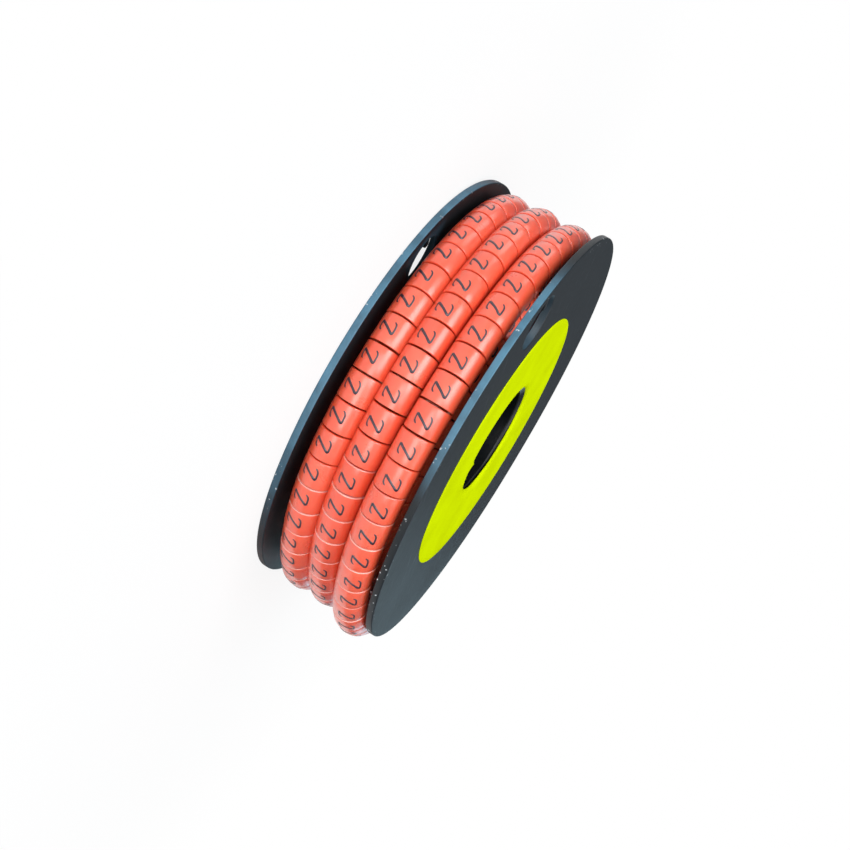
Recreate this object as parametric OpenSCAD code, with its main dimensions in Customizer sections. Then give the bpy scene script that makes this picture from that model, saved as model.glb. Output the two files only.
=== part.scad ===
// Cable marker roll: part-cut printed sleeves wound on a moulded reel that carries a round label.
// Sizes are in millimetres and angles in degrees. The reel lies on its plain flange, label up.

/* [Sleeves] */
// Outside diameter of one sleeve
sleeve_od = 6.1; // [5.6:0.1:6.6]
// Inside diameter of one sleeve
sleeve_id = 4.1; // [3.4:0.1:4.4]
// Markers in one turn of the outer layer
markers = 46; // [42:1:50]
// Width of a cut between two markers, at the outside of the turn
slit_w = 0.4; // [0.2:0.05:0.7]
// Depth of a cut, from the outside of the turn inward
slit_depth = 4.2; // [3:0.1:4.8]

/* [Winding] */
// Turns in one layer
turns = 3; // [2:1:4]
// Layers on the drum
layers = 5; // [4:1:6]
// How far two turns side by side press into each other
turn_lap = 0.25; // [0.2:0.01:0.35]
// Radial step from one layer to the next
layer_step = 5.39; // [5.2:0.01:5.6]
// How far each outer turn stands out from the first, as the loose end has let them go
turn_out = [0, 0.6, 1.9, 2.2];
// Gap from the first outer turn to the plain flange
far_gap = 1.5; // [1.2:0.1:2]
// Gap from the last outer turn to the label flange
near_gap = 1.46; // [1.2:0.02:2.4]
// Gap from the layer under the outer turns to the label flange
under_gap = 1; // [0.6:0.05:1.2]
// Clearance between the winding and the reel
wind_gap = 0.1; // [0.05:0.05:0.3]
// Angle of the first cut of each turn, used in order
turn_phase = [6.3, 3.1, 3.2, 3.4];
// Direction of the place where each turn steps over to the next
cross_at = 218; // [180:1:260]
// Markers taken by the step from one turn to the next
cross_markers = 5; // [4:1:6]
// How much narrower the strip is pressed where it steps over
cross_slim = 0.6; // [0.5:0.1:0.8]
// Rise of the strip where it steps over
cross_rise = 0.5; // [0.3:0.1:0.9]
// Dip of the marker that comes up from the layer below
rise_dip = 1.6; // [1:0.1:2]

/* [Reel] */
// Diameter of the hub bore
bore_d = 20; // [16:0.5:22]
// Wall of the hub
hub_wall = 1.7; // [1.5:0.1:2.5]
// Thickness of a flange
flange_t = 1.3; // [1:0.1:2]
// Height of the flange rim above the first outer turn
rim_cover = 0.54; // [0.3:0.02:3]
// Chamfer on the edges of the flange rim
rim_chamfer = 0.25; // [0.1:0.05:0.4]
// Width of the lead-in at each end of the bore
lead_w = 1.6; // [0.8:0.1:2]
// Depth of the lead-in at each end of the bore
lead_h = 0.8; // [0.4:0.1:0.9]

/* [Tail holes] */
// Diameter of a tail hole at the inner face of its flange
tail_d = 7.6; // [6.6:0.1:8]
// Extra diameter of a tail hole at the outer face
tail_flare = 1.3; // [0.4:0.1:1.6]
// Distance from the flange rim to the middle of a tail hole
tail_inset = 6.4; // [6.2:0.1:7]
// Width of the barb that grips a tail
barb_w = 1; // [0.8:0.1:1.4]
// Length of the barb inside its hole
barb_len = 2.2; // [1.5:0.1:2.4]
// Sideways place of the barb in its hole
barb_side = -0.9; // [-1.2:0.1:0.5]

/* [Label] */
// Diameter of the label
label_d = 50; // [40:1:54]
// Thickness of the label
label_t = 0.12; // [0.08:0.02:0.2]
// How far the label stops short of the bore wall
label_short = 0.3; // [0.2:0.05:0.5]

/* [Hidden] */
$fn = 96;
sleeve_r = sleeve_od / 2;
turn_pitch = sleeve_od - turn_lap;
drum_r = bore_d / 2 + hub_wall;
turn_r = drum_r + wind_gap + sleeve_r + (layers - 1) * layer_step;
pack_r = turn_r + sleeve_r;
flange_r = pack_r + rim_cover;
wind_w = far_gap + (turns - 1) * turn_pitch + sleeve_od + near_gap;
reel_w = wind_w + 2 * flange_t;
marker_a = 360 / markers;
slit_a = slit_w / pack_r * 180 / PI;
far_r = pack_r + max([for (i = [0 : turns - 1]) turn_out[i]]) + 1;
slit_half = turn_pitch - sleeve_r - 0.05;
ring_sweep = 360 - cross_markers * marker_a;
lower_markers = round(markers * (turn_r - layer_step) / turn_r);
tail_x = flange_r - tail_inset;
cross_cut = slit_w / 2 + 0.05;
web_w = sleeve_id / 2;

// Radius and height of the middle of an outer turn, first turn by the plain flange
function out_r(i) = turn_r + turn_out[i];
function turn_z(i) = flange_t + far_gap + sleeve_r + i * turn_pitch;
// Radius of a layer, the outer layer is number 0
function layer_r(l) = turn_r - l * layer_step;
// Lower layers lean to the label flange and to the plain flange in turn
function low_z(l) = l % 2 == 1
    ? reel_w - flange_t - under_gap - sleeve_r - (turns - 1) * turn_pitch
    : flange_t + wind_gap + sleeve_r;
function high_z(l) = low_z(l) + (turns - 1) * turn_pitch;
// Each outer turn starts just after the step and ends just before it
function start_a(i) = turn_phase[i]
    + marker_a * round((cross_at + cross_markers * marker_a / 2 - turn_phase[i]) / marker_a);
function end_a(i) = start_a(i) - cross_markers * marker_a;
// Points of the step from turn i to the next
function cross_a(i, f) = end_a(i) + f * (start_a(i + 1) - end_a(i));
function cross_r(i, f) = out_r(i) + f * (out_r(i + 1) - out_r(i)) + cross_rise * 4 * f * (1 - f);
function cross_z(i, f) = turn_z(i) + turn_pitch * f * f * (3 - 2 * f);
function at(a, r, z) = [r * cos(a), r * sin(a), z];
function cross_pt(i, j) = let (f = j / cross_markers) at(cross_a(i, f), cross_r(i, f), cross_z(i, f));
// The marker before the first turn dips towards the layer below
function rise_pt(j) = at(start_a(0) - j * marker_a, turn_r - j * rise_dip, turn_z(0));
last_start = max([for (i = [0 : turns - 1]) start_a(i)]);
first_end = min([for (i = [0 : turns - 1]) end_a(i)]);

// Stands its children on p, with their Z towards q and their Y towards the hub
module along(p, q) {
    v = q - p;
    translate(p)
        rotate([0, acos(v[2] / norm(v)), atan2(v[1], v[0])])
            children();
}

// A straight sleeve from p to q, cut short at both ends
module sleeve(p, q) {
    along(p, q)
        translate([0, 0, cross_cut])
            cylinder(d = sleeve_od - cross_slim, h = norm(q - p) - 2 * cross_cut);
}

// The uncut web under a straight sleeve, which joins it to the layer below
module web(p, q, reach) {
    along(p, q)
        translate([-web_w / 2, sleeve_id / 2 + 0.4, -0.2])
            cube([web_w, reach + cross_rise + 0.3 - sleeve_id / 2 - 0.4, norm(q - p) + 0.4]);
}

// The bore of a straight sleeve
module sleeve_bore(p, q) {
    along(p, q)
        translate([0, 0, cross_cut - 0.1])
            cylinder(d = sleeve_id - cross_slim, h = norm(q - p) - 2 * cross_cut + 0.2);
}

// One arc of round section, used for a turn and for its bore
module turn_arc(i, d, over) {
    rotate([0, 0, start_a(i) - over])
        rotate_extrude(angle = ring_sweep + 2 * over)
            translate([out_r(i), turn_z(i)])
                circle(d = d);
}

// A thin wedge that opens one cut
module wedge(a, r, z_low, z_high, width_a) {
    rotate([0, 0, a - width_a / 2])
        rotate_extrude(angle = width_a)
            translate([r, z_low])
                square([far_r - r, z_high - z_low]);
}

// The layers under the outer one, with the cuts of the turn that shows beside the label flange
module lower_layers() {
    difference() {
        rotate_extrude() {
            for (l = [1 : layers - 1])
                for (i = [0 : turns - 1])
                    translate([layer_r(l), low_z(l) + i * turn_pitch])
                        circle(d = sleeve_od);
            polygon(concat(
                [for (l = [1 : layers - 1]) [layer_r(l), high_z(l)]],
                [for (l = [layers - 1 : -1 : 1]) [layer_r(l), low_z(l)]]
            ));
        }
        for (k = [0 : lower_markers - 1])
            wedge(k * 360 / lower_markers, layer_r(1) + 0.8, high_z(1) - slit_half, high_z(1) + sleeve_od, slit_a * 1.2);
    }
}

// Outer turns, the steps between them and the rise from below, before they are bored
module outer_turns() {
    for (i = [0 : turns - 1])
        turn_arc(i, sleeve_od, 0);
    for (i = [0 : turns - 2])
        for (j = [0 : cross_markers - 1]) {
            sleeve(cross_pt(i, j), cross_pt(i, j + 1));
            web(cross_pt(i, j), cross_pt(i, j + 1), out_r(i + 1) - layer_r(1));
        }
    sleeve(rise_pt(1), rise_pt(0));
    web(rise_pt(1), rise_pt(0), layer_step - cross_rise);
    rotate([0, 0, last_start + 0.3])
        rotate_extrude(angle = 360 - (last_start - first_end) - 0.6)
            translate([layer_r(1), turn_z(0)])
                square([turn_r - layer_r(1) - 0.35, (turns - 1) * turn_pitch]);
}

// The bore that runs through the outer turns and their steps
module outer_bore() {
    for (i = [0 : turns - 1])
        turn_arc(i, sleeve_id, 0.3);
    for (i = [0 : turns - 2])
        for (j = [0 : cross_markers - 1])
            sleeve_bore(cross_pt(i, j), cross_pt(i, j + 1));
}

// The cuts between the markers of the outer turns
module outer_cuts() {
    for (i = [0 : turns - 1])
        for (k = [1 : markers - cross_markers - 1])
            wedge(start_a(i) + k * marker_a, out_r(i) + sleeve_r - slit_depth,
                turn_z(i) - (i == 0 ? sleeve_od : slit_half),
                turn_z(i) + (i == turns - 1 ? sleeve_od : slit_half), slit_a);
}

module marker_strip() {
    color([0.93, 0.2, 0.15])
        difference() {
            union() {
                lower_layers();
                outer_turns();
            }
            outer_bore();
            outer_cuts();
        }
}

// Hub and both flanges in one turned outline
module reel_body() {
    rotate_extrude()
        polygon([
            [bore_d / 2, lead_h],
            [bore_d / 2 + lead_w, 0],
            [flange_r - rim_chamfer, 0],
            [flange_r, rim_chamfer],
            [flange_r, flange_t - rim_chamfer],
            [flange_r - rim_chamfer, flange_t],
            [drum_r, flange_t],
            [drum_r, reel_w - flange_t],
            [flange_r - rim_chamfer, reel_w - flange_t],
            [flange_r, reel_w - flange_t + rim_chamfer],
            [flange_r, reel_w - rim_chamfer],
            [flange_r - rim_chamfer, reel_w],
            [bore_d / 2 + lead_w, reel_w],
            [bore_d / 2, reel_w - lead_h]
        ]);
}

// A hole that opens out to the outer face of its flange
module tail_hole() {
    slope = tail_flare / 2 / flange_t;
    translate([tail_x, 0, -1])
        cylinder(d1 = tail_d + 2 * slope * (flange_t + 1), d2 = tail_d - 2 * slope, h = flange_t + 2);
}

module barb() {
    translate([tail_x + tail_d / 2 - barb_len, barb_side - barb_w / 2, 0])
        cube([barb_len + 1.2, barb_w, flange_t]);
}

// What each flange loses and keeps, drawn for the plain flange and mirrored to the other
module on_both_flanges() {
    children();
    translate([0, 0, reel_w])
        mirror([0, 0, 1])
            children();
}

module reel() {
    color([0.09, 0.1, 0.11])
        union() {
            difference() {
                reel_body();
                on_both_flanges()
                    tail_hole();
            }
            on_both_flanges()
                barb();
        }
}

// Flat ring that lips down into the lead-in of the bore
module label() {
    slope_a = atan(lead_h / lead_w);
    hole_r = bore_d / 2 + label_short;
    dip = (bore_d / 2 + lead_w - hole_r) * lead_h / lead_w;
    color([0.8, 0.87, 0.05])
        rotate_extrude()
            polygon([
                [hole_r, reel_w - dip],
                [bore_d / 2 + lead_w, reel_w],
                [label_d / 2, reel_w],
                [label_d / 2, reel_w + label_t],
                [bore_d / 2 + lead_w - label_t * tan(slope_a / 2), reel_w + label_t],
                [hole_r - label_t * sin(slope_a), reel_w - dip + label_t * cos(slope_a)]
            ]);
}

reel();
marker_strip();
label();
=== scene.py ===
import math
import bmesh
import bpy
import numpy as np
from mathutils import Matrix


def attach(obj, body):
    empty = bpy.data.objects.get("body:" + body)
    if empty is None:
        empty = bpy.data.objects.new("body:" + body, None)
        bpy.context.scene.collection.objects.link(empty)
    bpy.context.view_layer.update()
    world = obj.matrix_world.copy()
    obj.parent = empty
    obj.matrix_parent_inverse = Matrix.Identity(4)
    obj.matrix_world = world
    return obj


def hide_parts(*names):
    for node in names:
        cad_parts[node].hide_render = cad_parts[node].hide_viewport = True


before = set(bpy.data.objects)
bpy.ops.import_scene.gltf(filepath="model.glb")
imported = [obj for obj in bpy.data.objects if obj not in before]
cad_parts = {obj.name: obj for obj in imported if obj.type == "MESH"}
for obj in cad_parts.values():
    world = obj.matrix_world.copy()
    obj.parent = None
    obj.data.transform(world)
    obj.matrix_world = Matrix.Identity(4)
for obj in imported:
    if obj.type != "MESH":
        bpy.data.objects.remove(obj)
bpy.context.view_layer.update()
scene = bpy.context.scene
scene.view_settings.view_transform = "Standard"
mm = 0.001
print("frame loaded:", ", ".join(sorted(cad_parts)))


def gridFaces(rows, cols, rowLoop, colLoop):
    # face (i, j) joins grid point (i, j) to its next neighbours along both directions
    rowCount = rows if rowLoop else rows - 1
    colCount = cols if colLoop else cols - 1
    i, j = np.meshgrid(np.arange(rowCount), np.arange(colCount), indexing="ij")
    nextRow = (i + 1) % rows
    nextCol = (j + 1) % cols
    corners = [i * cols + j, nextRow * cols + j, nextRow * cols + nextCol, i * cols + nextCol]
    return np.stack(corners, -1).reshape(-1, 4)


def repeatFaces(faces, count, stride):
    # the same faces for every copy, each copy starting one stride later
    return (faces[None] + (np.arange(count) * stride)[:, None, None]).reshape(-1, 4)


def makePiece(name, parts, material, tones=None, weld=False):
    # all grids of a piece in one mesh: points one after the other, faces shifted to match
    starts = np.cumsum([0] + [len(part[0]) for part in parts])
    points = np.concatenate([part[0] for part in parts])
    faces = np.concatenate([part[1] + start for part, start in zip(parts, starts)])
    mesh = bpy.data.meshes.new(name)
    mesh.from_pydata((points * mm).tolist(), [], faces.tolist())
    if tones is not None:
        mesh.attributes.new("tone", "FLOAT", "POINT").data.foreach_set("value", tones.astype(np.float32))
    if weld:
        work = bmesh.new()
        work.from_mesh(mesh)
        bmesh.ops.remove_doubles(work, verts=work.verts, dist=2e-6)
        bmesh.ops.recalc_face_normals(work, faces=work.faces)
        work.to_mesh(mesh)
        work.free()
    mesh.polygons.foreach_set("use_smooth", np.ones(len(mesh.polygons), dtype=bool))
    mesh.materials.append(material)
    mesh.update()
    piece = bpy.data.objects.new(name, mesh)
    scene.collection.objects.link(piece)
    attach(piece, "root")
    print("made", name, len(points), "points", len(faces), "faces")
    return piece


class Wire:
    # one shader socket; maths on it adds Math nodes to its tree
    def __init__(self, tree, socket):
        self.tree = tree
        self.socket = socket

    def make(self, kind, settings, inputs, output=0):
        # one node: its settings first, then the values or links of its sockets
        node = self.tree.nodes.new(kind)
        for key, value in settings.items():
            setattr(node, key, value)
        for key, value in inputs.items():
            if isinstance(value, Wire):
                self.tree.links.new(value.socket, node.inputs[key])
            else:
                node.inputs[key].default_value = value
        return Wire(self.tree, node.outputs[output])

    def other(self, output):
        # another output of the same node
        return Wire(self.tree, self.socket.node.outputs[output])

    def maths(self, operation, *values):
        # one Math node with its values in order
        return self.make("ShaderNodeMath", {"operation": operation}, dict(enumerate(values)))

    def __add__(self, other):
        return self.maths("ADD", self, other)

    def __sub__(self, other):
        return self.maths("SUBTRACT", self, other)

    def __rsub__(self, other):
        return self.maths("SUBTRACT", other, self)

    def __mul__(self, other):
        return self.maths("MULTIPLY", self, other)

    def __truediv__(self, other):
        return self.maths("DIVIDE", self, other)

    def __pow__(self, other):
        return self.maths("POWER", self, other)

    __radd__ = __add__
    __rmul__ = __mul__

    def ramp(self, low, high):
        # 0 below low, 1 above high, smooth between
        inputs = {"Value": self, "From Min": low, "From Max": high}
        return self.make("ShaderNodeMapRange", {"interpolation_type": "SMOOTHSTEP"}, inputs)

    def blend(self, first, second):
        # colour that goes from first to second as this value goes from 0 to 1
        return self.make("ShaderNodeMix", {"data_type": "RGBA"}, {0: self, 6: first, 7: second}, 2)


class Finish:
    # one material: its shader, the piece's own coordinates and the textures that read them
    def __init__(self, name, constants):
        self.material = bpy.data.materials.new(name)
        self.material.use_nodes = True
        tree = self.material.node_tree
        self.shader = tree.nodes["Principled BSDF"]
        for key, value in constants.items():
            self.shader.inputs[key].default_value = value
        self.start = Wire(tree, self.shader.outputs[0])
        self.coords = self.start.make("ShaderNodeTexCoord", {}, {}, "Object")

    def feed(self, socket, wire):
        # link a value or colour to one of the shader's sockets
        wire.tree.links.new(wire.socket, self.shader.inputs[socket])

    def noise(self, scale, detail, stretch=(1.0, 1.0, 1.0)):
        # clouds from 0 to 1, finer as the scale grows, stretched by axis
        placed = self.start.make("ShaderNodeMapping", {}, {"Vector": self.coords, "Scale": stretch})
        inputs = {"Vector": placed, "Scale": scale, "Detail": detail}
        return self.start.make("ShaderNodeTexNoise", {}, inputs)

    def tone(self):
        # the value that each point of the mesh carries
        return self.start.make("ShaderNodeAttribute", {"attribute_name": "tone"}, {}, "Fac")

    def bump(self, height, strength, distance):
        # fine relief in the shading only
        inputs = {"Height": height, "Strength": strength, "Distance": distance}
        return self.start.make("ShaderNodeBump", {}, inputs)


# red vinyl: gloss, how light bleeds through, colours of the markers and the painted highlight on their cut
# ends
vinyl = {
    "gloss": {"Specular IOR Level": 0.6, "IOR": 1.5, "Coat Weight": 0.8, "Coat Roughness": 0.28,
              "Coat IOR": 1.6},
    "soft": {"Subsurface Weight": 0.3, "Subsurface Scale": 0.002, "Subsurface Radius": (1.0, 0.2, 0.1)},
    "pale": (0.84, 0.116, 0.056, 1.0),
    "deep": (0.81, 0.092, 0.038, 1.0),
    "cutEndHighlight": (0.90, 0.44, 0.38, 1.0),
}


def vinylFinish(name):
    # soft glossy vinyl: tone by marker, a painted pale highlight on the leading cut ends, faint clouds, fine
    # skin
    finish = Finish(name, {**vinyl["gloss"], **vinyl["soft"]})
    tone = finish.tone()
    clouds = finish.noise(220.0, 3.0)
    grain = finish.noise(2600.0, 2.0)
    mixed = (tone * 0.6 + clouds * 0.5).ramp(0.1, 0.95)
    # painted highlight: where the tone rises above 1, the cut ends turn pale pink
    cut = tone.ramp(1.1, 2.2) * 0.85
    finish.feed("Base Color", cut.blend(mixed.blend(vinyl["pale"], vinyl["deep"]), vinyl["cutEndHighlight"]))
    finish.feed("Roughness", 0.22 + clouds * 0.12 + grain * 0.03)
    finish.feed("Normal", finish.bump(grain * 0.3 + clouds * 0.7, 0.02, 0.0002))
    return finish.material


# print: gloss, and its colour where it is full and where it is thin
ink = {
    "gloss": {"Specular IOR Level": 0.5, "Coat Weight": 0.8, "Coat Roughness": 0.28, "Coat IOR": 1.6},
    "full": (0.016, 0.007, 0.018, 1.0),
    "thin": (0.18, 0.04, 0.05, 1.0),
}


def inkFinish(name):
    # printed ink, thin in places, with the gloss of the vinyl under it
    finish = Finish(name, ink["gloss"])
    wear = finish.noise(1500.0, 3.0)
    thin = wear.ramp(0.56, 0.78)
    finish.feed("Base Color", (thin * 0.6).blend(ink["full"], ink["thin"]))
    finish.feed("Roughness", 0.30 + wear * 0.2)
    return finish.material


# black plastic: gloss, tones with the painted bore shade, direction of the painted rim reflection, and the
# radii where hub and nicks begin, in metres
plastic = {
    "gloss": {"Specular IOR Level": 0.36},
    "dark": (0.005, 0.008, 0.010, 1.0),
    "scuffed": (0.012, 0.016, 0.020, 1.0),
    "paintedSheen": (0.070, 0.180, 0.260, 1.0),
    "sheenFacing": (0.934, 0.358),
    # painted shade for the bore, darker than the plastic itself
    "hub": (0.001, 0.002, 0.003, 1.0),
    "hubFrom": (0.0106, 0.0114),
    "nick": (0.62, 0.66, 0.68, 1.0),
    "nickFrom": (0.0392, 0.0398),
}


def mouldedFinish(name):
    # black moulded plastic: satin with scuffs, a painted blue-grey reflection on the rims towards the tail
    # holes, more narrowly on the label flange, with pale nicks on the rims and the hub painted near black as
    # shade in the bore
    finish = Finish(name, plastic["gloss"])
    x = finish.start.make("ShaderNodeSeparateXYZ", {}, {"Vector": finish.coords}, "X")
    y = x.other("Y")
    radius = (x * x + y * y) ** 0.5
    paintedSheen = finish.tone()
    outside = radius.ramp(*plastic["hubFrom"])
    clouds = finish.noise(70.0, 4.0)
    fine = finish.noise(900.0, 3.0)
    scuffs = finish.noise(160.0, 5.0, (1.0, 6.0, 1.0)).ramp(0.58, 0.74)
    onLabel = x.other("Z").ramp(0.005, 0.015)
    # painted reflection: the rims are tinted blue-grey, fading away from the side given by the facing
    # direction, narrower on the label flange and broken into patches
    side = (x * plastic["sheenFacing"][0] + y * plastic["sheenFacing"][1]) / radius
    patches = 0.6 + finish.noise(240.0, 3.0).ramp(0.3, 0.7) * 0.4
    paintedRimSheen = paintedSheen * side.ramp(0.3 + onLabel * 0.5, 0.95 + onLabel * 0.02) * patches
    specks = finish.noise(1500.0, 2.0).ramp(0.66, 0.71)
    nicks = specks * radius.ramp(*plastic["nickFrom"]) * finish.noise(110.0, 2.0).ramp(0.48, 0.62)
    base = (clouds * 0.7 + scuffs * 0.3).blend(plastic["dark"], plastic["scuffed"])
    edged = paintedRimSheen.blend(base, plastic["paintedSheen"])
    # painted shade: inside the hub radius the colour drops to near black, for the shade in the bore
    boreShaded = outside.blend(plastic["hub"], edged)
    finish.feed("Base Color", nicks.blend(boreShaded, plastic["nick"]))
    finish.feed("Roughness", 0.26 + outside * 0.12 + clouds * 0.12 - scuffs * 0.05 + fine * 0.06)
    finish.feed("Normal", finish.bump(fine * 0.7 + scuffs * 0.3, 0.12, 0.0002))
    return finish.material


# label paper: gloss and two tones
paper = {
    "gloss": {"Specular IOR Level": 0.0},
    "light": (0.55, 0.69, 0.001, 1.0),
    "dark": (0.47, 0.58, 0.001, 1.0),
}


def paperFinish(name):
    # coated paper: yellow-green, faint mottle, fine fibres
    finish = Finish(name, paper["gloss"])
    mottle = finish.noise(130.0, 4.0)
    fibres = finish.noise(1400.0, 4.0, (1.0, 3.0, 1.0))
    shade = (mottle * 0.7 + fibres * 0.3).ramp(0.3, 0.75)
    finish.feed("Base Color", shade.blend(paper["light"], paper["dark"]))
    finish.feed("Roughness", 0.42 + fibres * 0.2)
    finish.feed("Normal", finish.bump(fibres, 0.10, 0.00015))
    return finish.material


redVinyl = vinylFinish("red_vinyl")
printInk = inkFinish("print_ink")
blackPlastic = mouldedFinish("black_plastic")
labelPaper = paperFinish("label_paper")
print("finishes ready")

# the wound strip in millimetres and degrees; each outer turn has its own radius, centre and height
strip = {
    "sleeveR": 3.05,
    "boreR": 2.05,
    "boreEdge": 0.12,
    "turnR": (36.51, 36.72, 37.94),
    "turnX": (-0.13, 0.32, -0.48),
    "turnY": (0.13, 0.14, 0.75),
    "turnZ": (5.80, 11.55, 17.89),
    "markerA": (7.83, 7.74, 7.63),
    "cutAt": (37.6, 34.4, 34.5),
    "before": 20,
    "after": (20, 20, 21),
    "stepMarkers": (6, 7),
    "riseMarkers": 3,
    "riseShare": 0.95,
    "stepRise": 0.5,
    "stepSlim": 0.09,
    "leanFrom": 61.0,
    "leanOver": 60.0,
    "leanUp": 1.05,
    "leanOut": 0.5,
    "slit": 0.08,
    "open": 0.13,
    "shutFrom": 50.0,
    "shutOver": 45.0,
    "shut": 0.75,
    "edge": (0.09, 0.20),
    "edgeDeep": (0.09, 0.17),
    "paleDeep": 0.5,
    "paleLeast": 0.15,
    "webArc": (120.0, 240.0),
    "webIn": 0.03,
    "around": 28,
    "lowerR": (31.02, 25.63, 20.24, 14.85),
    "lowerZ": (6.31, 4.45, 6.31, 4.45),
    "lowerAround": 16,
    "pitch": 5.85,
    "lowerMarkers": 39,
    "wobble": 0.03,
    "slip": 0.6,
    "seed": 11,
}
markerA = np.array(strip["markerA"])
ringZero = np.array(strip["cutAt"]) + np.array([360.0, 720.0, 1080.0])
ringStart = ringZero - strip["before"] * markerA
ringEnd = ringZero + np.array(strip["after"]) * markerA
rand = np.random.default_rng(strip["seed"])


def ease(f):
    # smooth step from 0 to 1
    f = np.clip(f, 0.0, 1.0)
    return f * f * (3.0 - 2.0 * f)


def outerPath(a):
    # the outer layer: three turns, each with a slack lean at the front, a step up at the end of the
    # first two, and a dive to the layer below at the start
    steps = [np.clip((a - ringEnd[k]) / (ringStart[k + 1] - ringEnd[k]), 0.0, 1.0) for k in (0, 1)]
    dive = ease((ringStart[0] - a) / (strip["riseMarkers"] * markerA[0]))
    hump = sum(4.0 * f * (1.0 - f) for f in steps)
    slack = sum(ease((a - strip["leanFrom"] - 360.0 * (k + 1)) / strip["leanOver"]) for k in range(3))
    slack = slack - sum(ease(f) for f in steps)

    def carried(values):
        return values[0] + sum((values[k + 1] - values[k]) * ease(steps[k]) for k in (0, 1))
    radius = carried(strip["turnR"]) + strip["stepRise"] * hump + strip["leanOut"] * slack
    radius = radius - strip["riseShare"] * (strip["turnR"][0] - strip["lowerR"][0]) * dive
    height = carried(strip["turnZ"]) + strip["leanUp"] * slack
    height = height + (strip["lowerZ"][0] - strip["turnZ"][0]) * dive
    turn = np.radians(a)
    x = carried(strip["turnX"]) + radius * np.cos(turn)
    y = carried(strip["turnY"]) + radius * np.sin(turn)
    return np.stack([x, y, height], -1), radius, 1.0 - strip["stepSlim"] * hump


def ringPath(radius, height):
    # one closed turn of a lower layer
    def path(a):
        turn = np.radians(a)
        centre = np.stack([radius * np.cos(turn), radius * np.sin(turn), height + 0.0 * turn], -1)
        return centre, radius + 0.0 * a, 1.0 + 0.0 * a
    return path


def pathFrame(path, a):
    # centre, outward and upward directions of the strip at angle a, from its own tangent
    centre, radius, slim = path(a)
    tangent = path(a + 0.05)[0] - path(a - 0.05)[0]
    tangent = tangent / np.linalg.norm(tangent, axis=-1, keepdims=True)
    turn = np.radians(a)
    outward = np.stack([np.cos(turn), np.sin(turn), 0.0 * turn], -1)
    outward = outward - tangent * np.sum(outward * tangent, -1, keepdims=True)
    outward = outward / np.linalg.norm(outward, axis=-1, keepdims=True)
    return centre, outward, np.cross(outward, tangent), slim


def sleeveGrids(path, edges, around, sway, gaping):
    # each marker is the outline of its wall (outside, round edge, end face, bore) turned about the strip's
    # centre line; its ends lean in towards the outside of the bend, so that the cuts gape there
    outR, inR, bevel = strip["sleeveR"], strip["boreR"], strip["boreEdge"]
    middle = (edges[:-1] + edges[1:]) / 2.0
    reach = path(middle)[1] + outR
    half = np.radians(edges[1:] - edges[:-1]) / 2.0 * reach - strip["slit"] / 2.0
    corner = np.radians([30.0, 60.0, 90.0])
    outside = [-1.0, -0.4, 0.4, 1.0]
    fraction = np.array(outside + [1.0] * 6 + [-1.0] * 6)
    tail, lead = [np.append(e - e * np.sin(corner), 0.0) for e in strip["edge"]]
    body = np.interp(outside, [-1.0, 1.0], strip["edge"][::-1])
    short = np.concatenate([body, tail, [0.0, bevel, bevel, 0.0], lead[::-1]])
    face = outR - strip["paleDeep"]
    tail, lead = [np.append(outR - d + d * np.cos(corner), face) for d in strip["edgeDeep"]]
    rho = np.concatenate([np.full(4, outR), tail, [inR + bevel, inR, inR, inR + bevel], lead[::-1]])
    # painted highlight on the leading cut end: its rounded edge and the top of its end face carry a pale
    # tone
    pale = np.array([0.0] * 12 + [0.4, 1.0, 1.0, 0.8])
    count, loop = len(middle), len(fraction)
    along = fraction[None] * (half[:, None] - short[None]) + strip["slip"] * sway[0][:, None]
    angle = middle[:, None] + np.degrees(along / reach[:, None])
    centre, outward, upward, slim = pathFrame(path, angle)
    section = np.linspace(0.0, 2.0 * np.pi, around, endpoint=False)
    centre = centre + outward * sway[1][:, None, None] + upward * sway[2][:, None, None]
    size = (rho[None] * slim)[..., None, None]
    ring = np.cos(section)[:, None] * outward[:, :, None] + np.sin(section)[:, None] * upward[:, :, None]
    gape = -strip["open"] * fraction[:, None] * (0.5 + 0.5 * np.cos(section))[None]
    gape = (gaping[:, None, None] * gape[None])[..., None]
    points = centre[:, :, None] + size * ring + gape * np.cross(upward, outward)[:, :, None]
    faces = repeatFaces(gridFaces(loop, around, True, True)[:, ::-1], count, loop * around)
    # the painted highlight grows along each turn as the cuts close, from paleLeast up to full
    closed = np.minimum(1.0, strip["paleLeast"] + 2.0 * (1.0 - gaping) / strip["shut"])
    tones = np.repeat(sway[3][:, None] + 2.0 * closed[:, None] * pale, around)
    return points.reshape(-1, 3), faces, tones, middle


def newSway(count):
    # how far each marker sits off its place: along, outward and up, and its own tone from 0 to 1
    sway = strip["wobble"] * rand.standard_normal((4, count))
    sway[2] = 0.5 * sway[2]
    sway[3] = rand.random(count)
    return sway


def webGrid(path, low, high):
    # the uncut underside of the strip: the inner third of the sleeve wall, carried along the whole path
    angle = np.arange(low, high, 2.0)
    centre, outward, upward, slim = pathFrame(path, angle)
    arc = np.radians(np.linspace(strip["webArc"][0], strip["webArc"][1], 9))
    section = np.concatenate([arc, arc[::-1]])
    walls = strip["sleeveR"] - strip["webIn"], strip["boreR"] + strip["webIn"]
    rho = np.repeat(walls, len(arc))
    ring = np.cos(section)[:, None] * outward[:, None] + np.sin(section)[:, None] * upward[:, None]
    points = centre[:, None] + (rho[None] * slim[:, None])[..., None] * ring
    return points.reshape(-1, 3), gridFaces(len(angle), len(section), False, True)[:, ::-1]


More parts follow.
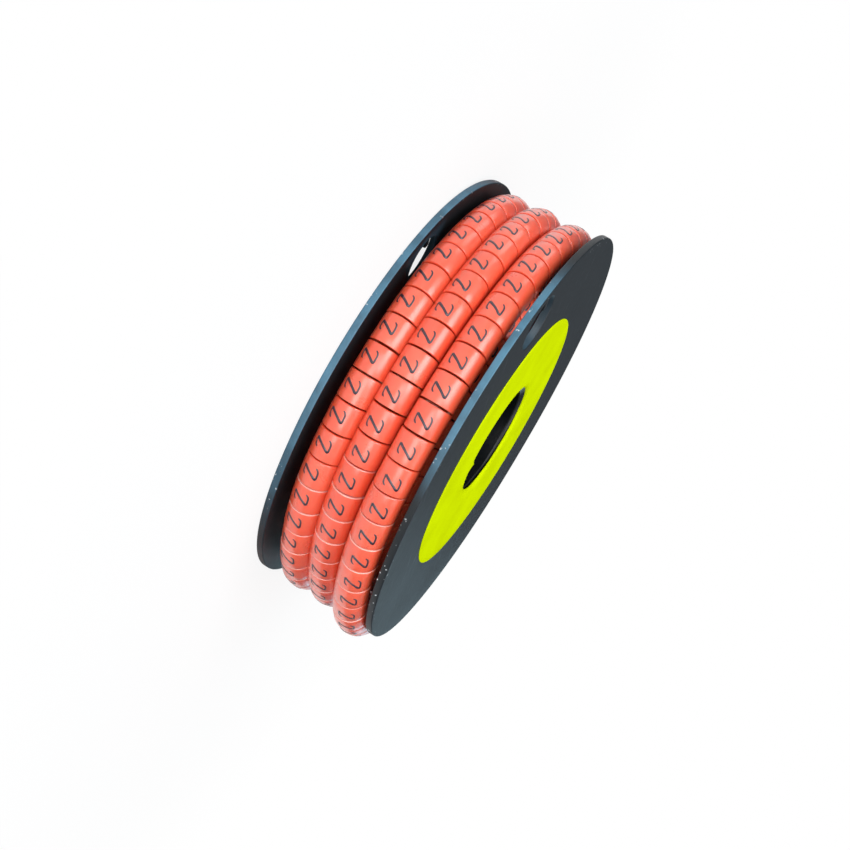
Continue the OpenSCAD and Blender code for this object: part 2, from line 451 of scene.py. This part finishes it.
# printed figure: points with stroke width, in millimetres on the sleeve; it creeps round the sleeve along
# each turn
figure = {
    "bow": ((-1.00, 0.82, 0.16), (-0.82, 1.14, 0.26), (-0.44, 1.35, 0.27), (0.14, 1.41, 0.26),
            (0.74, 1.40, 0.30), (0.96, 1.27, 0.40), (0.88, 1.02, 0.42), (0.58, 0.60, 0.38),
            (0.14, -0.10, 0.39), (-0.30, -0.90, 0.43), (-0.55, -1.38, 0.42)),
    "foot": ((-0.62, -1.42, 0.26), (-0.20, -1.41, 0.24), (0.20, -1.38, 0.20), (0.62, -1.30, 0.30),
             (0.90, -1.08, 0.28), (1.04, -0.78, 0.12)),
    "bowSteps": 19,
    "footSteps": 9,
    "lift": 0.02,
    "sink": 0.03,
    "bleed": 0.02,
    "slide": 0.06,
    "roll": 1.5,
    "middle": (-23.0, -15.0, -9.0),
    "creep": (13.0, 16.0, 24.0),
    "creepFrom": 16.0,
    "creepOver": 70.0,
    "shift": (-0.25, 0.28, 0.24),
    "lower": (-22.0, 0.0, 22.0),
    "lowerSpan": 26.0,
}


def figureStroke(points, steps):
    # smooth line through the points, with its width; four points across: sunk edge, top, top, sunk edge
    points = np.array(points)
    at = np.linspace(0.0, len(points) - 1.0, steps)
    padded = np.concatenate([2 * points[:1] - points[1:2], points, 2 * points[-1:] - points[-2:-1]])
    k = np.minimum(at.astype(int), len(points) - 2)
    t = (at - k)[:, None]
    a, b, c, d = padded[k], padded[k + 1], padded[k + 2], padded[k + 3]
    square = 2 * a - 5 * b + 4 * c - d
    cube = 3 * b - a - 3 * c + d
    line = 0.5 * (2 * b + (c - a) * t + square * t ** 2 + cube * t ** 3)
    tangent = np.gradient(line[:, :2], axis=0)
    tangent = tangent / np.linalg.norm(tangent, axis=1, keepdims=True)
    normal = np.stack([-tangent[:, 1], tangent[:, 0]], 1)
    width = line[:, 2] / 2.0
    across = np.stack([width + figure["bleed"], width, -width, -width - figure["bleed"]], 1)
    flat = line[:, None, :2] + across[..., None] * normal[:, None]
    height = np.array([-figure["sink"], figure["lift"], figure["lift"], -figure["sink"]])
    return np.concatenate([flat, np.broadcast_to(height[None, :, None], flat.shape[:2] + (1,))], -1)


def figureGrids(path, middle, sectionMiddle, shift, sway):
    # the strokes wrapped on each sleeve: reading direction along the strip, top towards the label
    parts = []
    slide = shift + figure["slide"] * rand.standard_normal(len(middle)) + strip["slip"] * sway[0]
    roll = figure["roll"] * rand.standard_normal(len(middle))
    for shape, steps in ((figure["bow"], figure["bowSteps"]), (figure["foot"], figure["footSteps"])):
        stroke = figureStroke(shape, steps).reshape(-1, 3)
        radius = path(middle)[1] + strip["sleeveR"]
        angle = middle[:, None] + np.degrees((stroke[None, :, 0] + slide[:, None]) / radius[:, None])
        centre, outward, upward, slim = pathFrame(path, angle)
        centre = centre + outward * sway[1][:, None, None] + upward * sway[2][:, None, None]
        section = np.radians(sectionMiddle + roll)[:, None] + stroke[None, :, 1] / strip["sleeveR"]
        rho = strip["sleeveR"] * slim + stroke[None, :, 2]
        ring = np.cos(section)[..., None] * outward + np.sin(section)[..., None] * upward
        points = centre + rho[..., None] * ring
        faces = repeatFaces(gridFaces(steps, 4, False, False)[:, ::-1], len(middle), steps * 4)
        parts.append((points.reshape(-1, 3), faces))
    return parts


# the outer layer: where its markers are cut, then the markers, the web under them and their figures
inTurn = [strip["before"] + after for after in strip["after"]]
stops = [ringStart[0] + np.arange(-strip["riseMarkers"], inTurn[0] + 1) * markerA[0]]
for k in (0, 1):
    stops.append(np.linspace(ringEnd[k], ringStart[k + 1], strip["stepMarkers"][k] + 1)[1:])
    stops.append(ringStart[k + 1] + np.arange(1, inTurn[k + 1] + 1) * markerA[k + 1])
outerStops = np.concatenate(stops)
outerSway = newSway(len(outerStops) - 1)
outerMiddle = (outerStops[:-1] + outerStops[1:]) / 2.0
turnOfMarker = (outerMiddle > ringStart[1]).astype(int) + (outerMiddle > ringStart[2])
alongTurn = outerMiddle - 360.0 * (turnOfMarker + 1)
gaping = 1.0 - strip["shut"] * ease((alongTurn - strip["shutFrom"]) / strip["shutOver"])
points, faces, tones, outerMiddle = sleeveGrids(outerPath, outerStops, strip["around"], outerSway, gaping)
web = webGrid(outerPath, outerStops[0] + 1.0, outerStops[-1] - 1.0)
tones = np.concatenate([tones, np.full(len(web[0]), 0.5)])
outerSleeves = makePiece("outer_sleeves", [(points, faces), web], redVinyl, tones)
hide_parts("marker_strip")

creep = ease((alongTurn - figure["creepFrom"]) / figure["creepOver"])
sectionMiddle = np.array(figure["middle"])[turnOfMarker] + np.array(figure["creep"])[turnOfMarker] * creep
shift = np.array(figure["shift"])[turnOfMarker]
figures = figureGrids(outerPath, outerMiddle, sectionMiddle, shift, outerSway)

# the layers below: cut markers where the tail holes show them, plain rings elsewhere
lowerParts, lowerTones = [], []
lowerStops = np.linspace(0.0, 360.0, strip["lowerMarkers"] + 1)
ringAngles = np.linspace(0.0, 360.0, 72, endpoint=False)
section = np.linspace(0.0, 2.0 * np.pi, strip["lowerAround"], endpoint=False)
for layer in range(4):
    for turnIndex in range(3):
        path = ringPath(strip["lowerR"][layer], strip["lowerZ"][layer] + turnIndex * strip["pitch"])
        if layer == 0 and turnIndex != 1:
            sway = newSway(strip["lowerMarkers"])
            gaping = np.ones(strip["lowerMarkers"])
            points, faces, tones, middle = sleeveGrids(path, lowerStops, strip["lowerAround"], sway, gaping)
            shown = np.abs((middle + 180.0) % 360.0 - 180.0) < figure["lowerSpan"]
            figures += figureGrids(path, middle[shown], figure["lower"][turnIndex], 0.0, sway[:, shown])
        else:
            centre, outward, upward, slim = pathFrame(path, ringAngles)
            ring = np.cos(section)[:, None] * outward[:, None] + np.sin(section)[:, None] * upward[:, None]
            points = (centre[:, None] + (strip["sleeveR"] - 0.02) * ring).reshape(-1, 3)
            faces = gridFaces(len(ringAngles), len(section), True, True)[:, ::-1]
            tones = np.full(len(points), 0.5)
        lowerParts.append((points, faces))
        lowerTones.append(tones)
lowerSleeves = makePiece("lower_sleeves", lowerParts, redVinyl, np.concatenate(lowerTones))
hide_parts("marker_strip")
makePiece("printed_figures", figures, printInk)

# the reel in millimetres and degrees: its solid's sizes, then how the flanges have settled
reel = {
    "flangeR": 40.0,
    "flangeT": 1.3,
    "width": 23.36,
    "boreR": 10.0,
    "drumR": 11.7,
    "drumRound": 0.4,
    "leadW": 1.6,
    "leadH": 0.8,
    "rimRound": 0.22,
    "tailX": 33.3,
    "tailR": 4.1,
    "tailFlare": 0.65,
    "tailRound": 0.18,
    "barbW": 1.0,
    "barbLen": 2.2,
    "barbSide": -0.9,
    "segments": 288,
    "windowHalf": 10.0,
    "windowR": (28.2, 39.2),
    "windowRows": 6,
    "labelGrow": 0.55,
    "labelShift": (0.21, -0.28),
    "labelPush": 0.3,
    "labelPushAt": 126.0,
    "plainPull": 1.2,
    "plainPullAt": -64.0,
    "plainPullWide": 35.0,
}


def turned(profile, angles, closed):
    # a profile of radius and height carried round the axis
    profile = np.array(profile)
    turn = np.radians(angles)[:, None]
    points = np.stack([profile[None, :, 0] * np.cos(turn), profile[None, :, 0] * np.sin(turn),
                       profile[None, :, 1] + 0.0 * turn], -1)
    return points.reshape(-1, 3), gridFaces(len(angles), len(profile), closed, False)


def quarter(cr, cz, radius, low, high):
    # points of a small arc in the profile
    turn = np.radians(np.linspace(low, high, 5))
    return np.stack([cr + radius * np.cos(turn), cz + radius * np.sin(turn)], 1).tolist()


def level(flat, z):
    # points of a plan, all at one height
    return np.concatenate([flat, np.full((len(flat), 1), z)], 1)


def flangeParts(outerZ, innerZ):
    # one flange: rim, both faces with a window left for the tail hole, then rings that go from the
    # window's edge on the outer face to the hole, through its wall, and back out on the inner face
    up = 1.0 if outerZ > innerZ else -1.0
    n, half = reel["segments"], reel["windowHalf"]
    full = np.arange(n) * 360.0 / n
    steps = int(round(2 * half * n / 360.0))
    outside = np.linspace(half, 360.0 - half, n - steps + 1)
    innerR, outerR = reel["windowR"]
    rows = reel["windowRows"]
    rr, edgeR = reel["rimRound"], reel["flangeR"]
    rim = [[outerR, outerZ], [edgeR - rr - 0.12, outerZ]]
    rim += quarter(edgeR - rr, outerZ - up * rr, rr, up * 90.0, 0.0)
    rim += quarter(edgeR - rr, innerZ + up * rr, rr, 0.0, -up * 90.0)
    rim += [[edgeR - rr - 0.12, innerZ], [outerR, innerZ]]
    parts = [turned(rim, full, True)]
    band = np.linspace(innerR, outerR, rows + 1)
    start = {outerZ: reel["boreR"] + reel["leadW"] + 0.15, innerZ: reel["drumR"] + 0.55}
    for z in (outerZ, innerZ):
        parts.append(turned([[start[z], z], [20.0, z], [innerR, z]], full, True))
        parts.append(turned(np.stack([band, np.full(rows + 1, z)], 1), outside, False))
    side = np.linspace(-half, half, steps + 1)
    edgeAt = np.concatenate([np.full(steps, innerR), band[:-1], np.full(steps, outerR), band[:0:-1]])
    edgeTurn = np.concatenate([side[:-1], np.full(rows, half), side[:0:-1], np.full(rows, -half)])
    edgeTurn = np.radians(edgeTurn)
    edge = np.stack([edgeAt * np.cos(edgeTurn), edgeAt * np.sin(edgeTurn)], 1)
    middle = np.array([reel["tailX"], 0.0])
    spoke = edge - middle
    spoke = spoke / np.linalg.norm(spoke, axis=1, keepdims=True)
    narrow, tr = reel["tailR"], reel["tailRound"]
    wide = narrow + reel["tailFlare"]
    wall = [[wide + tr + 0.1, outerZ], [wide + tr, outerZ], [wide + 0.3 * tr, outerZ - up * 0.25 * tr],
            [wide - 0.05, outerZ - up * tr], [narrow + 0.1, innerZ + up * tr],
            [narrow + 0.3 * tr, innerZ + up * 0.25 * tr], [narrow + tr, innerZ], [narrow + tr + 0.1, innerZ]]
    rings = [level(edge, outerZ)] + [level(middle + r * spoke, z) for r, z in wall] + [level(edge, innerZ)]
    parts.append((np.stack(rings).reshape(-1, 3), gridFaces(len(rings), len(edge), False, True)))
    return parts


def settled(points):
    # how the flanges sit: outside of the label the label flange is a little wider and pushed out by the
    # winding, and the plain flange is bent in at one side; both fade out towards the hub
    r = np.hypot(points[:, 0], points[:, 1])
    angle = np.degrees(np.arctan2(points[:, 1], points[:, 0]))
    onLabel = points[:, 2] > reel["width"] / 2.0
    outer = ease((r - 26.0) / 12.0) * onLabel
    unit = points[:, :2] / np.maximum(r, 1e-6)[:, None]
    move = outer[:, None] * (reel["labelGrow"] * unit + np.array(reel["labelShift"]))
    push = reel["labelPush"] * outer * np.clip(np.cos(np.radians(angle - reel["labelPushAt"])), 0.0, 1.0)
    off = (angle - reel["plainPullAt"] + 180.0) % 360.0 - 180.0
    bent = np.exp(-(off / reel["plainPullWide"]) ** 2) * np.clip((r - 24.0) / 16.0, 0.0, None) ** 2
    lift = push + reel["plainPull"] * bent * ~onLabel
    return points + np.concatenate([move, lift[:, None]], 1)


def barbGrid(lowZ, highZ):
    # a small tongue: a rounded rectangle section carried inward from the rim side of the hole, tip drawn in
    inward = np.array([-0.6, 0.0, 1.0, 1.7, 2.05, reel["barbLen"], reel["barbLen"]])
    x = reel["tailX"] + reel["tailR"] - inward
    size = np.array([1.0, 1.0, 1.0, 0.97, 0.85, 0.6, 0.02])
    around = np.radians(np.linspace(0.0, 360.0, 20, endpoint=False))
    y = np.sign(np.cos(around)) * np.abs(np.cos(around)) ** 0.35 * reel["barbW"] / 2.0
    z = np.sign(np.sin(around)) * np.abs(np.sin(around)) ** 0.35 * (highZ - lowZ) / 2.0 * 0.9
    points = np.stack([x[:, None] + 0.0 * y[None], reel["barbSide"] + size[:, None] * y[None],
                       (lowZ + highZ) / 2.0 + size[:, None] * z[None]], -1)
    return points.reshape(-1, 3), gridFaces(len(x), len(around), False, True)


# the reel's moulding: two flanges, the drum with its fillets and the bore with a lead-in at each end
width, flangeT = reel["width"], reel["flangeT"]
parts = flangeParts(0.0, flangeT) + flangeParts(width, width - flangeT)
full = np.arange(reel["segments"]) * 360.0 / reel["segments"]
drumR, boreR, fillet = reel["drumR"], reel["boreR"], reel["drumRound"]
drum = [[drumR + 0.55, flangeT]]
drum += quarter(drumR + fillet, flangeT + fillet, fillet, -90.0, -180.0)
drum += quarter(drumR + fillet, width - flangeT - fillet, fillet, 180.0, 90.0)
drum += [[drumR + 0.55, width - flangeT]]
parts.append(turned(drum, full, True))
leadR, leadH = boreR + reel["leadW"], reel["leadH"]
bore = [[leadR + 0.15, 0.0], [leadR, 0.02], [leadR - 0.15, 0.09], [boreR + 0.12, leadH - 0.05]]
bore += [[boreR, leadH + 0.1], [boreR, leadH + 0.2], [boreR, leadH + 0.4]]
bore += [[boreR, width / 2]] + [[r, width - z] for r, z in bore[::-1]]
parts.append(turned(bore, full, True))

# tone of the moulding for the painted blue-grey reflection: full on the rims, faint in the tail holes
flat = np.concatenate([part[0] for part in parts])
paintedSheen = np.hypot(flat[:, 0], flat[:, 1]) > reel["flangeR"] - 0.1
paintedSheen = paintedSheen + 0.3 * (np.hypot(flat[:, 0] - reel["tailX"], flat[:, 1]) < reel["tailR"] + reel["tailFlare"])
parts = [(settled(points), faces) for points, faces in parts]
reelPiece = makePiece("reel_moulding", parts, blackPlastic, paintedSheen, weld=True)
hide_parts("reel")
parts = [barbGrid(0.0, flangeT), barbGrid(width - flangeT, width)]
parts = [(settled(points), faces) for points, faces in parts]
makePiece("tail_barbs", parts, blackPlastic, weld=True)

# round label on the flange, with a ragged inner edge
tag = {
    "outerR": 25.0,
    "holeR": 10.5,
    "lipR": 12.4,
    "thick": 0.12,
    "ragged": 0.07,
    "kinkAt": 70.0,
    "kinkWide": 6.0,
    "kinkIn": 0.45,
    "lipDip": 0.42,
    "holeShift": (0.26, -0.36),
    "segments": 240,
}


def labelGrid():
    # flat ring with a lip that follows the lead-in down to a ragged inner edge, drawn as a closed loop
    # of top and underside
    angle = np.arange(tag["segments"]) * 360.0 / tag["segments"]
    turn = np.radians(angle)
    rag = sum(np.sin(k * turn + 1.7 * k) / k ** 0.7 for k in (5, 9, 14, 23, 31)) / 2.0
    kink = np.exp(-((angle - tag["kinkAt"]) / tag["kinkWide"]) ** 2)
    hole = tag["holeR"] + tag["ragged"] * rag - tag["kinkIn"] * kink
    outer = tag["outerR"] + 0.02 * np.sin(3 * turn)
    top, under = width + tag["thick"], width + 0.005

    def dip(r):
        deep = np.clip((leadR - r) / (leadR - tag["holeR"]), 0.0, None) ** 2
        return tag["lipDip"] * (1.0 - kink) * deep
    lipR = [hole + (leadR - hole) * share for share in (0.0, 0.5, 1.0)]
    flatR = [np.full_like(turn, r) for r in (tag["lipR"], 18.0, 24.0)] + [outer - 0.05]
    loop = [(r, top - dip(r)) for r in lipR] + [(r, top + 0.0 * r) for r in flatR]
    loop += [(outer, top - 0.04 + 0.0 * outer), (outer, width + 0.012 + 0.0 * outer)]
    loop += [(r, under + 0.0 * r) for r in flatR[::-1]] + [(r, under - dip(r)) for r in lipR[::-1]]
    points = np.stack([np.stack([r * np.cos(turn), r * np.sin(turn), z], 1) for r, z in loop])
    reach = np.hypot(points[..., 0], points[..., 1])
    slide = np.clip((tag["lipR"] - reach) / (tag["lipR"] - tag["holeR"]), 0.0, 1.0)
    points[..., :2] = points[..., :2] + slide[..., None] * np.array(tag["holeShift"])
    return points.reshape(-1, 3), gridFaces(len(loop), len(turn), True, True)


labelPiece = makePiece("flange_label", [labelGrid()], labelPaper, weld=True)
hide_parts("label")

# camera at the photo's place: turn round the axis, then the rows of its own axes
shot = {
    "turn": 36.0,
    "place": (298.446, 0.0, 64.094),
    "right": (-0.15634358, -0.51348317, 0.84373676),
    "down": (-0.07902445, 0.85800609, 0.50752408),
    "ahead": (-0.98453635, 0.0126723, -0.17472146),
    "lens": 71.984,
}
turnCos = math.cos(math.radians(shot["turn"]))
turnSin = math.sin(math.radians(shot["turn"]))
spin = np.array([[turnCos, -turnSin, 0.0], [turnSin, turnCos, 0.0], [0.0, 0.0, 1.0]])
cameraData = bpy.data.cameras.new("photo_camera")
cameraData.lens = shot["lens"]
cameraData.sensor_width = 36.0
cameraData.clip_start = 0.01
camera = bpy.data.objects.new("photo_camera", cameraData)
scene.collection.objects.link(camera)
axes = np.eye(4)
axes[:3, 0] = spin @ np.array(shot["right"])
axes[:3, 1] = -spin @ np.array(shot["down"])
axes[:3, 2] = -spin @ np.array(shot["ahead"])
axes[:3, 3] = spin @ np.array(shot["place"]) * mm
camera.matrix_world = Matrix(axes.tolist())
scene.camera = camera
print("camera placed")

# lamps by turn from the camera's side, height angle, distance, width, height, power and colour
lamps = {
    "window_light": (-28.0, 44.0, 0.80, 0.70, 0.40, 4.2, (0.95, 0.98, 1.0)),
    "ceiling_light": (20.0, 84.0, 1.10, 1.10, 1.10, 3.5, (1.0, 1.0, 1.0)),
    "front_light": (15.0, 13.0, 0.80, 0.70, 0.40, 2.9, (1.0, 0.99, 0.99)),
    "side_light": (-96.0, 14.0, 0.90, 0.60, 0.30, 1.0, (1.0, 0.99, 0.98)),
    "rear_light": (168.0, 62.0, 0.90, 0.60, 0.40, 1.4, (1.0, 0.99, 0.98)),
    "back_light": (164.0, 8.0, 1.00, 0.38, 0.20, 0.36, (0.55, 0.86, 1.0)),
}
for name, (turn, rise, away, wide, tall, power, colour) in lamps.items():
    lampData = bpy.data.lights.new(name, "AREA")
    lampData.shape = "RECTANGLE"
    lampData.size = wide
    lampData.size_y = tall
    lampData.energy = power
    lampData.color = colour
    lamp = bpy.data.objects.new(name, lampData)
    scene.collection.objects.link(lamp)
    a, b = math.radians(turn + shot["turn"]), math.radians(rise)
    back = np.array([math.cos(a) * math.cos(b), math.sin(a) * math.cos(b), math.sin(b)])
    side = np.cross([0.0, 0.0, 1.0], back)
    side = side / np.linalg.norm(side)
    axes = np.eye(4)
    axes[:3, 0], axes[:3, 1], axes[:3, 2] = side, np.cross(back, side), back
    axes[:3, 3] = back * away + np.array([0.0, 0.0, 0.012])
    lamp.matrix_world = Matrix(axes.tolist())
print("lamps placed")

# room light from the camera's side and from behind, and a pale floor that the eye sees as white
backdrop = {
    "worldBack": (0.07, 0.09, 0.11, 1.0),
    "worldFront": (0.58, 0.58, 0.60, 1.0),
    "worldGloss": 0.06,
    "white": (1.0, 1.0, 1.0, 1.0),
    "floorReach": 8.0,
    "floorWhite": (0.76, 0.76, 0.76, 1.0),
    "floorShow": 0.86,
    "floorGloss": 0.5,
}
world = bpy.data.worlds.new("pale_room")
scene.world = world
world.use_nodes = True
sky = Wire(world.node_tree, world.node_tree.nodes["Background"].outputs[0])
seen = sky.make("ShaderNodeLightPath", {}, {}, "Is Camera Ray")
eye = seen + seen.other("Is Transmission Ray")
shown = eye.maths("MINIMUM", eye + seen.other("Is Glossy Ray") * backdrop["worldGloss"], 1.0)
facing = sky.make("ShaderNodeTexCoord", {}, {}, "Generated")
front = (turnCos, turnSin, 0.25)
facing = sky.make("ShaderNodeVectorMath", {"operation": "DOT_PRODUCT"}, {0: facing, 1: front}, "Value")
room = facing.ramp(-0.35, 0.6).blend(backdrop["worldBack"], backdrop["worldFront"])
tint = shown.blend(room, backdrop["white"])
world.node_tree.links.new(tint.socket, world.node_tree.nodes["Background"].inputs["Color"])

floorMaterial = bpy.data.materials.new("pale_floor")
floorMaterial.use_nodes = True
floorTree = floorMaterial.node_tree
floorShader = floorTree.nodes["Principled BSDF"]
floorShader.inputs["Base Color"].default_value = backdrop["floorWhite"]
floorShader.inputs["Roughness"].default_value = 0.9
floorShader.inputs["Specular IOR Level"].default_value = 0.1
lit = Wire(floorTree, floorShader.outputs[0])
seen = lit.make("ShaderNodeLightPath", {}, {}, "Is Camera Ray")
eye = seen + seen.other("Is Transmission Ray")
glow = lit.make("ShaderNodeEmission", {}, {"Color": backdrop["white"], "Strength": 1.0})
place = lit.make("ShaderNodeTexCoord", {}, {}, "Object")
away = lit.make("ShaderNodeVectorMath", {"operation": "LENGTH"}, {0: place}, "Value")
far = away.ramp(0.05, 0.16)
white = eye * (backdrop["floorShow"] + far * (1.0 - backdrop["floorShow"]))
mirrored = seen.other("Is Glossy Ray") * away.ramp(0.05, 0.12) * backdrop["floorGloss"]
mixed = lit.make("ShaderNodeMixShader", {}, {0: white + mirrored, 1: lit, 2: glow})
floorTree.links.new(mixed.socket, floorTree.nodes["Material Output"].inputs["Surface"])

# the floor: a disc of rings, a hair under the part
around = np.radians(np.linspace(0.0, 360.0, 96, endpoint=False))
reach = np.array([0.0, 0.3, 1.0, backdrop["floorReach"]])[:, None]
floorPoints = np.stack([reach * np.cos(around), reach * np.sin(around), 0.0 * reach * around - 0.00005], -1)
floorMesh = bpy.data.meshes.new("floor")
floorFaces = gridFaces(len(reach), len(around), False, True)
floorMesh.from_pydata(floorPoints.reshape(-1, 3).tolist(), [], floorFaces.tolist())
floorMesh.materials.append(floorMaterial)
floor = bpy.data.objects.new("floor", floorMesh)
scene.collection.objects.link(floor)
print("floor laid")
